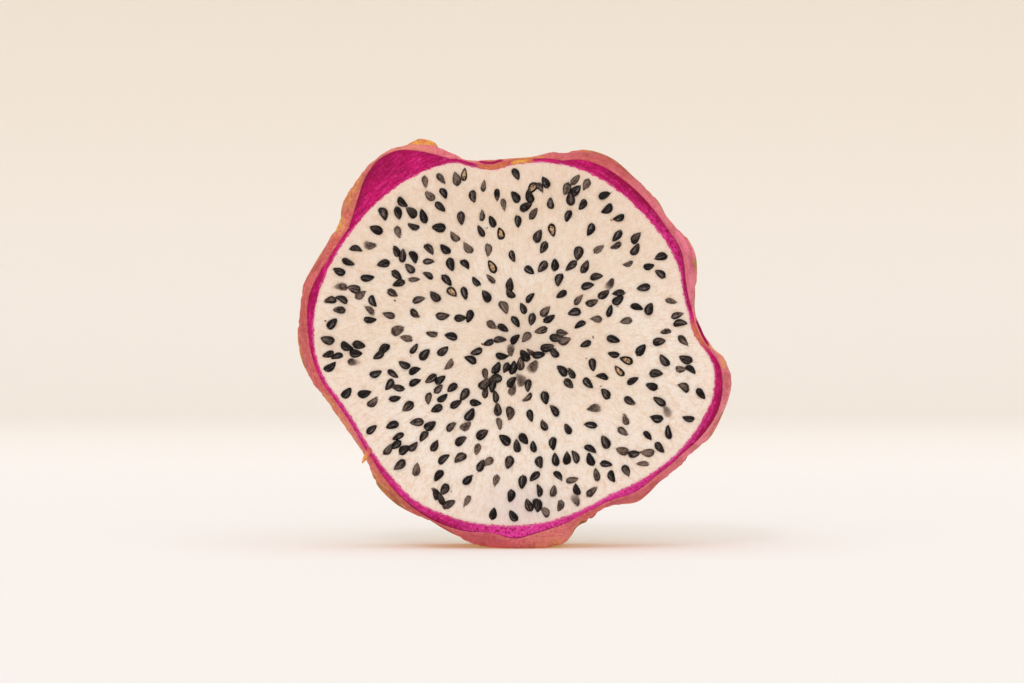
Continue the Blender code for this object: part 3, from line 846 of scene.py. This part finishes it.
OLIVE_SPOTS = ((229.5, -4, 6, 4, 1), (119, 0, 3, 3, 0.5), (330, 6, 8, 2, 0.4))
# Painted shade on the skin: darker patches, most of them near the front cut and low down by the
# floor
SHADE_SPOTS = (
    (260, -7, 10, 2.2, 0.8), (238, -7.4, 12, 1.6, 0.7), (131, -7.4, 12, 0.9, 0.7),
    (308, -6, 15, 3, 0.7), (30, -7.7, 22, 0.7, 0.6), (268, 2, 14, 5, 0.5),
    (66, -5.5, 20, 4, 0.9), (175, -6.5, 20, 2.5, 0.5))
# Salmon patches: painted light bounced up low on the skin, and patches of the skin's own higher up
SALMON_AND_LIGHT_SPOTS = (
    (280, -4.5, 14, 5, 1), (340, -5, 14, 4.5, 0.7),
    (120, -7, 12, 2, 0.7), (190, 3, 14, 5, 0.4))


def arcs(degrees, places):
    """The strongest of some places round the ring."""
    each = [amount * hump(degrees, middle, spread) for middle, spread, amount in places]
    return np.max(each, axis=0)


def spots(degrees, depth, places):
    """The strongest of some places on the skin: each full in its inner quarter, then softer."""
    found = 0.0
    for angle, at, wide, deep, amount in places:
        away = np.hypot(short_way(degrees - angle) / wide, (depth - at) / deep)
        found = np.maximum(found, amount * smooth(1, 0.25, away))
    return found


def skin_relief(degrees, depth):
    """Height of the skin's relief: broad swells, long fine ribs and a few folds."""
    swell = 0.1 * ripple(degrees, depth, range(11, 29, 3), 0.35, 21)
    ribs = 0.04 * ripple(degrees, depth, range(47, 150, 9), 0.3, 22)
    fine = 0.016 * ripple(degrees, depth, range(170, 330, 17), 0.5, 23)
    folds = 0.0
    for angle, lean, width, deep in FOLDS:
        away = short_way(degrees - angle - lean * (depth - FRONT))
        folds = folds - deep * np.exp(-((away / width) ** 2))
    return swell + ribs + fine + folds


def scale_cover(degrees, depth):
    """What the scales add to the skin: their height, and how much each point is on a margin,
    towards a tip, or in the painted shade of the hollow just outside a margin.

    A scale is a leaf: at a share along from its root its half width is 1 - along^1.6 of its
    spread. The gap to its margin is turned to millimetres by the slope of that curve. A scale
    rises along its length and drops to the skin at its margin, and the highest one lies on top.
    """
    height, margin, tip, crease_shade = (np.zeros(np.broadcast(degrees, depth).shape) for _ in range(4))
    for index, (middle, spread, root, point) in enumerate(SCALES):
        draw = np.random.default_rng(60 + index)
        length = abs(point - root)
        along = (depth - root) / (point - root)
        swing = draw.uniform(-6, 6) * along
        wave = 1 + 0.05 * sum(np.sin(k * along + draw.uniform(0, math.tau)) for k in (3, 5, 8))
        across = short_way(degrees - middle - swing) / spread
        within = np.clip(along, 0, 1)
        leaf = (1 - within**1.6) * wave
        steep = np.hypot(1 / (0.68 * spread), 1.6 * within**0.6 / length)
        inside = np.minimum((leaf - np.abs(across)) / steep, (1 - along) * length)
        body = smooth(0, 0.3, along)
        veins = 0.03 * np.cos(across / np.maximum(leaf, 0.15) * 17 + 3 * along)
        rise = SCALE_LIFT * (0.35 + 0.65 * within) * (1 - 0.25 * np.minimum(across**2, 1)) + veins
        own = rise * body * smooth(-0.05, 0.22, inside)
        over = own > height
        # Painted shade in the hollow just outside a scale's margin
        beside = smooth(-1.6, -0.1, inside) * smooth(0.25, 0.0, inside)
        beside = beside * body * (0.4 + 0.6 * within)
        crease_shade = np.where(over, 0.0, np.maximum(crease_shade, beside))
        margin = np.where(over, smooth(2.2, 0.0, inside) * (0.15 + 0.85 * within) * body, margin)
        tip = np.where(over, smooth(0.4, 1.0, along), tip)
        height = np.where(over, own, height)
    return height, margin, tip, crease_shade


def skin_sheet(degrees, depth):
    """Radius of the finished skin at angles and depths, and its colour facts."""
    height, margin, tip, crease_shade = scale_cover(degrees, depth)
    cut = cut_rim(degrees)
    calm = smooth(FRONT + 0.2, FRONT + 1.8, depth) * smooth(REAR - 0.1, REAR - 1.1, depth)
    reach = skin_radius(degrees, depth) - SKIN_UNDER_SCALES * smooth(-5.6, -1.5, depth)
    reach = reach + height + skin_relief(degrees, depth) * (0.3 + 0.7 * calm)
    notch = smooth(0.1, 0.5, arcs(degrees, NOTCHES))
    ledge = cut + 0.3 + 0.62 * notch * smooth(-7.62, -7.3, depth) * smooth(REAR, 4.0, depth)
    nearer = np.minimum(depth, 0) / CAMERA_AWAY * (1 - hump(degrees, 271, 24))
    highest = np.maximum(radius(SKIN_RIM, degrees) * (1 + nearer), cut + 0.3) + SCALE_OVER_RIM
    reach = np.minimum(np.maximum(reach, ledge * smooth(REAR, 4.0, depth)), highest)
    wander = degrees + 1.6 * ripple(degrees, depth, (7, 11, 16, 23, 41), 0.8, 31)
    wash = 0.5 + 0.25 * ripple(degrees, depth, (5, 9, 14, 22, 37, 58), 0.7, 32)
    # Painted rim light: golden where the skin stands furthest out, as if lit from behind
    painted_rim_light = arcs(wander, RIM_LIGHT_ARCS) * smooth(4.2, 1.0, np.abs(depth + 2.0)) * (0.25 + wash)
    margin = margin * (0.35 + 0.75 * wash) * (0.2 + 0.8 * smooth(-5.5, -2.0, depth))
    ochre = np.maximum(spots(wander, depth, OCHRE_SPOTS), margin)
    ochre = np.maximum(np.maximum(ochre, tip * wash), painted_rim_light)
    sliver = notch * smooth(-7.75, -7.6, depth) * smooth(-7.1, -7.3, depth)
    facts = {
        "ochre": ochre * (1 - sliver), "rust": spots(wander, depth, RUST_SPOTS),
        "olive": np.maximum(spots(wander, depth, OLIVE_SPOTS),
                            smooth(0.7, 1.0, margin + tip) * wash),
        "rose": arcs(wander, ROSE_ARCS) * np.ones_like(depth) * (0.6 + 0.4 * smooth(2, -6, depth)),
        # Painted light: bounce low down and lighter raised scale bodies, over salmon patches of the
        # skin's own
        "salmon_and_painted_light": np.maximum(spots(wander, depth, SALMON_AND_LIGHT_SPOTS), 0.35 * height / SCALE_LIFT),
        "sliver": sliver,
        # Painted shade: the hollows outside the scales' margins and the darker patches
        "crease_shade": np.maximum(crease_shade, spots(wander, depth, SHADE_SPOTS)),
        "from_flesh": 2.0 * sliver, "band": 0.8 * sliver, "crimson": 0.8 * sliver}
    return reach, facts


RIND_FACTS = ("cut", "band", "from_flesh", "line", "crimson", "violet_and_painted_light", "crumbly", "bare", "sliver",
              "ochre", "rust", "olive", "rose", "salmon_and_painted_light", "crease_shade")


def make_ring(name, degrees, rings, material):
    """A closed section carried round the slice. Each ring is a radius, a depth and its facts, and
    the last ring joins the first."""
    def sheet(values):
        return np.array([np.broadcast_to(value, degrees.shape) for value in values])

    reach, depth, own = zip(*rings)
    points = place(degrees[None], sheet(reach), sheet(depth))
    faces = grid_faces(len(rings), len(degrees), True, True)[:, ::-1]
    facts = {key: sheet([each.get(key, 0.0) for each in own]) for key in RIND_FACTS}
    return make_piece(name, points, faces.tolist(), material, facts)


def cut_rings(degrees, inner, outer, outward, rows):
    """Rings over one cut of the peel, from the flesh out: rough, a little hollow, and rounded off
    at its inner edge."""
    rings = []
    width = outer - inner
    facts = {"crimson": arcs(degrees, CRIMSON_ARCS), "violet_and_painted_light": arcs(degrees, VIOLET_ARCS),
             "crumbly": arcs(degrees, CRUMBLY_ARCS),
             "bare": smooth(0.1, 0.6, arcs(degrees, BARE)) * (outward < 0),
             "ochre": hump(degrees, *BEAD) * (outward < 0), "cut": 1.0}
    line = arcs(degrees, LINE_ARCS)
    for share in np.linspace(0, 1, rows):
        hollow = 0.05 * np.minimum(width, 4) * math.sin(math.pi * share)
        rough = 0.03 * ripple(degrees, share * 3, range(60, 300, 19), 1.5, 42)
        sunk = 0.07 + 0.12 * share**2 + hollow + rough + 0.2 * (1 - share) ** 12
        own = {"band": share, "from_flesh": share * width, "line": line * smooth(0.87, 1.0, share)}
        rings.append((inner + share * width, outward * (REAR - sunk), {**facts, **own}))
    return rings


def make_rind(material):
    """The cut body of the peel: over the front cut, under the skin, over the rear cut, and home
    along the bore."""
    degrees = np.arange(RIND_COLUMNS) * 360.0 / RIND_COLUMNS
    front_flesh, rear_flesh = flesh_rims(degrees)
    cut, rear = cut_rim(degrees), radius(REAR_RIM, degrees)
    nibbled = 0.03 * ripple(degrees, 0.0, range(50, 260, 11), 0.0, 41)
    nibbled = nibbled * (0.25 + 0.6 * arcs(degrees, CRUMBLY_ARCS))
    inner, rear_inner = front_flesh - RIND_OVERLAP + nibbled, rear_flesh - RIND_OVERLAP + nibbled
    arc = arcs(degrees, LINE_ARCS)
    inside = {"cut": 1.0}
    rim = {"cut": 1.0, "band": 1.0, "line": 0.8 * arc}
    rings = [(inner, FRONT + 1.6, inside)]
    rings += cut_rings(degrees, inner, cut + 0.02, -1, CUT_ROWS[0])
    rings += [(cut + 0.08, FRONT + 0.24 + 0.25 * arc, rim), (cut + 0.05, FRONT + 1.0, rim)]
    rings += [(np.maximum(skin_radius(degrees, land) - RIND_UNDER_SKIN, inner + 0.3), land, inside)
              for land in LANDS]
    rings += [(rear - 0.3, REAR - 0.8, rim), (rear - 0.22, REAR - 0.35, rim)]
    rings += cut_rings(degrees, rear_inner, rear - 0.28, 1, CUT_ROWS[1])[::-1]
    rings += [(rear_inner, REAR - 1.6, inside), ((inner + rear_inner) / 2, 0.0, inside)]
    return make_ring("rind", degrees, rings, material)


def make_skin(material):
    """The outer skin: a thin shell from its lip at the front cut, out over the flare and the
    scales, to its lip at the rear cut."""
    degrees = np.arange(RIND_COLUMNS) * 360.0 / RIND_COLUMNS
    cut, rear = cut_rim(degrees), radius(REAR_RIM, degrees)
    arc = arcs(degrees, LINE_ARCS)
    line = 0.7 * arc
    lip, end = (skin_sheet(degrees, np.full_like(degrees, face))[1] for face in (FRONT, REAR))
    rings = [(cut + 0.02, FRONT + 0.9, {**lip, "line": line}),
             (cut + 0.06, FRONT + 0.21 + 0.2 * arc, {**lip, "line": line}),
             (cut + 0.16, FRONT + 0.19, {**lip, "line": 0.3 * line}),
             (cut + 0.29, FRONT + 0.2, lip)]
    depth = FRONT + 0.3 + (THICKNESS - 0.62) * np.linspace(0, 1, SKIN_ROWS) ** 1.22
    reach, facts = skin_sheet(degrees[None], depth[:, None])
    reach = np.maximum(reach, np.where(depth[:, None] < 0, cut + 0.36, rear - 0.1))
    rings += [(reach[i], depth[i], {key: fact[i] for key, fact in facts.items()})
              for i in range(len(depth))]
    rings += [(rear - 0.08, REAR - 0.14, end),
              (rear - 0.2, REAR - 0.16, {**end, "line": 0.5}),
              (rear - 0.3, REAR - 0.7, {**end, "line": 0.5})]
    rings += [(np.maximum(skin_radius(degrees, land) - SHELL, cut - 0.15), land, {})
              for land in LANDS[::-1]]
    return make_ring("outer_skin", degrees, rings, material)


def make_tip(index, tip, material):
    """A tongue that stands out from the skin: two sheets joined round their edge, each curled a
    little and leaning, with a half width of sqrt(1 - along^3) of the widest."""
    angle, root, depth, direction, length, half_width, lean = tip
    along = np.linspace(0, 0.985, TIP_ROWS)[:, None]
    across = np.linspace(-1, 1, TIP_COLUMNS)[None, :]
    side = half_width * np.sqrt(1 - along**3) * (1 + 0.04 * np.sin(9 * along + 2 * index)) * across
    turn, way = math.radians(angle), math.radians(direction)
    out = length * along * (1 - 0.04 * across**2)
    x = CENTRE_X + root * math.cos(turn) + out * math.cos(way) - side * math.sin(way)
    z = CENTRE_HEIGHT + root * math.sin(turn) + out * math.sin(way) + side * math.cos(way)
    curl = depth + 0.45 + lean * along**2 + 0.06 * half_width * across**2
    curl = curl + 0.05 * np.sin(14 * along + 5 * across)
    edge = np.maximum(np.abs(across), along)
    thin = 0.4 * min(half_width / 2, 1) * np.sqrt(np.maximum(1 - edge**6, 0.05))
    sheets = np.stack([np.stack(np.broadcast_arrays(x, curl + half, z), axis=-1)
                       for half in (-thin, thin)])
    shape = sheets.shape[1:3]
    facts = {key: np.zeros(shape) for key in RIND_FACTS}
    facts["ochre"] = np.broadcast_to(1.4 * smooth(0.1, 0.6, along), shape)
    facts["olive"] = 0.7 * smooth(0.86, 1.0, edge) * (index == 0) * np.ones(shape)
    facts = {key: np.tile(value.ravel(), 2) for key, value in facts.items()}
    count = along.size * across.size
    top = grid_faces(*shape)
    outer = grid_edge(np.arange(count).reshape(shape))
    after = np.roll(outer, -1)
    walls = np.stack((outer, after, after + count, outer + count), axis=-1)
    faces = np.concatenate((top[:, ::-1], top + count, walls))
    return make_piece(f"tip_{index}", sheets, faces.tolist(), material, facts)


def make_camera():
    """Level, as far away as the lens needs for the photograph's scale."""
    data = bpy.data.cameras.new("camera")
    data.lens = LENS
    data.sensor_width = SENSOR
    distance = PHOTO_WIDTH * PIXEL * LENS / SENSOR
    camera = put("camera", data)
    camera.location = (CAMERA_X * MM, (FRONT - distance) * MM, CAMERA_HEIGHT * MM)
    camera.rotation_euler = (math.pi / 2, 0, 0)
    bpy.context.scene.camera = camera


def make_stage():
    """A pale floor that sweeps up into a cream wall: its profile is carried straight along X.
    Near the slice the floor glows faintly, which softens the shadow."""
    turn = np.linspace(0, math.pi / 2, BEND_STEPS)
    y = np.concatenate(([STAGE_START], FLOOR_END + BEND * np.sin(turn), [FLOOR_END + BEND]))
    z = np.concatenate(([0.0], BEND * (1 - np.cos(turn)), [WALL_TOP]))
    x = np.array([-STAGE_HALF_WIDTH, STAGE_HALF_WIDTH])
    points = np.stack(np.broadcast_arrays(x[None], y[:, None], z[:, None]), axis=-1)
    finish = Finish("paper_sweep", {
        "Roughness": 0.9, "Specular IOR Level": 0.1, "Emission Strength": 1.0})
    behind, height = finish.part(finish.place(), 1), finish.part(finish.place(), 2)
    far = finish.step(behind, 0.15, 0.6)
    colour = finish.mix(finish.step(behind, 0.2, 1.15), FLOOR_FAR, WALL_FOOT)
    colour = finish.mix(finish.step(height, 0.03, 0.30), colour, WALL)
    colour = finish.mix(far, FLOOR_NEAR, colour)
    finish.feed({"Base Color": colour, "Emission Color": finish.mix(far, FLOOR_GLOW, NO_GLOW)})
    mesh = bpy.data.meshes.new("sweep")
    mesh.from_pydata(points.reshape(-1, 3).tolist(), [], grid_faces(len(y), 2).tolist())
    mesh.shade_smooth()
    mesh.materials.append(finish.material)
    put("sweep", mesh)


def make_sun(name, wide, strength, tip, swing):
    """A far light: how many degrees wide it looks, its strength, and the way it shines."""
    data = bpy.data.lights.new(name, "SUN")
    data.angle = math.radians(wide)
    data.energy = strength
    data.color = SUNLIGHT
    put(name, data).rotation_euler = (math.radians(tip), 0, math.radians(swing))


def make_lights():
    """A soft room, a very broad window above and in front, and a smaller lamp for the glints."""
    world = bpy.data.worlds.new("room")
    world.use_nodes = True
    background = world.node_tree.nodes["Background"]
    background.inputs["Color"].default_value = ROOM_LIGHT
    background.inputs["Strength"].default_value = ROOM_STRENGTH
    bpy.context.scene.world = world
    bpy.context.scene.view_settings.view_transform = "Standard"
    make_sun("window", 110, 1.62, 30, -8)
    make_sun("lamp", 10, 0.32, 42, -24)


def main():
    make_camera()
    make_stage()
    make_lights()
    pulp, coat, rind = flesh_finish(), seed_finish(), rind_finish()
    for number, (side, outward) in enumerate((("front", -1), ("rear", 1))):
        crop = seed_crop(lambda a: float(flesh_rims(a)[number]), number)
        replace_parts(make_pulp(f"{side}_pulp", outward, crop, pulp), "flesh")
        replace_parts(make_seeds(f"{side}_seeds", outward, crop, coat), "flesh")
    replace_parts(make_rind(rind), "peel")
    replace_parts(make_skin(rind), "peel")
    for index, tip in enumerate(TIPS):
        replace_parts(make_tip(index, tip, rind), "peel")


main()
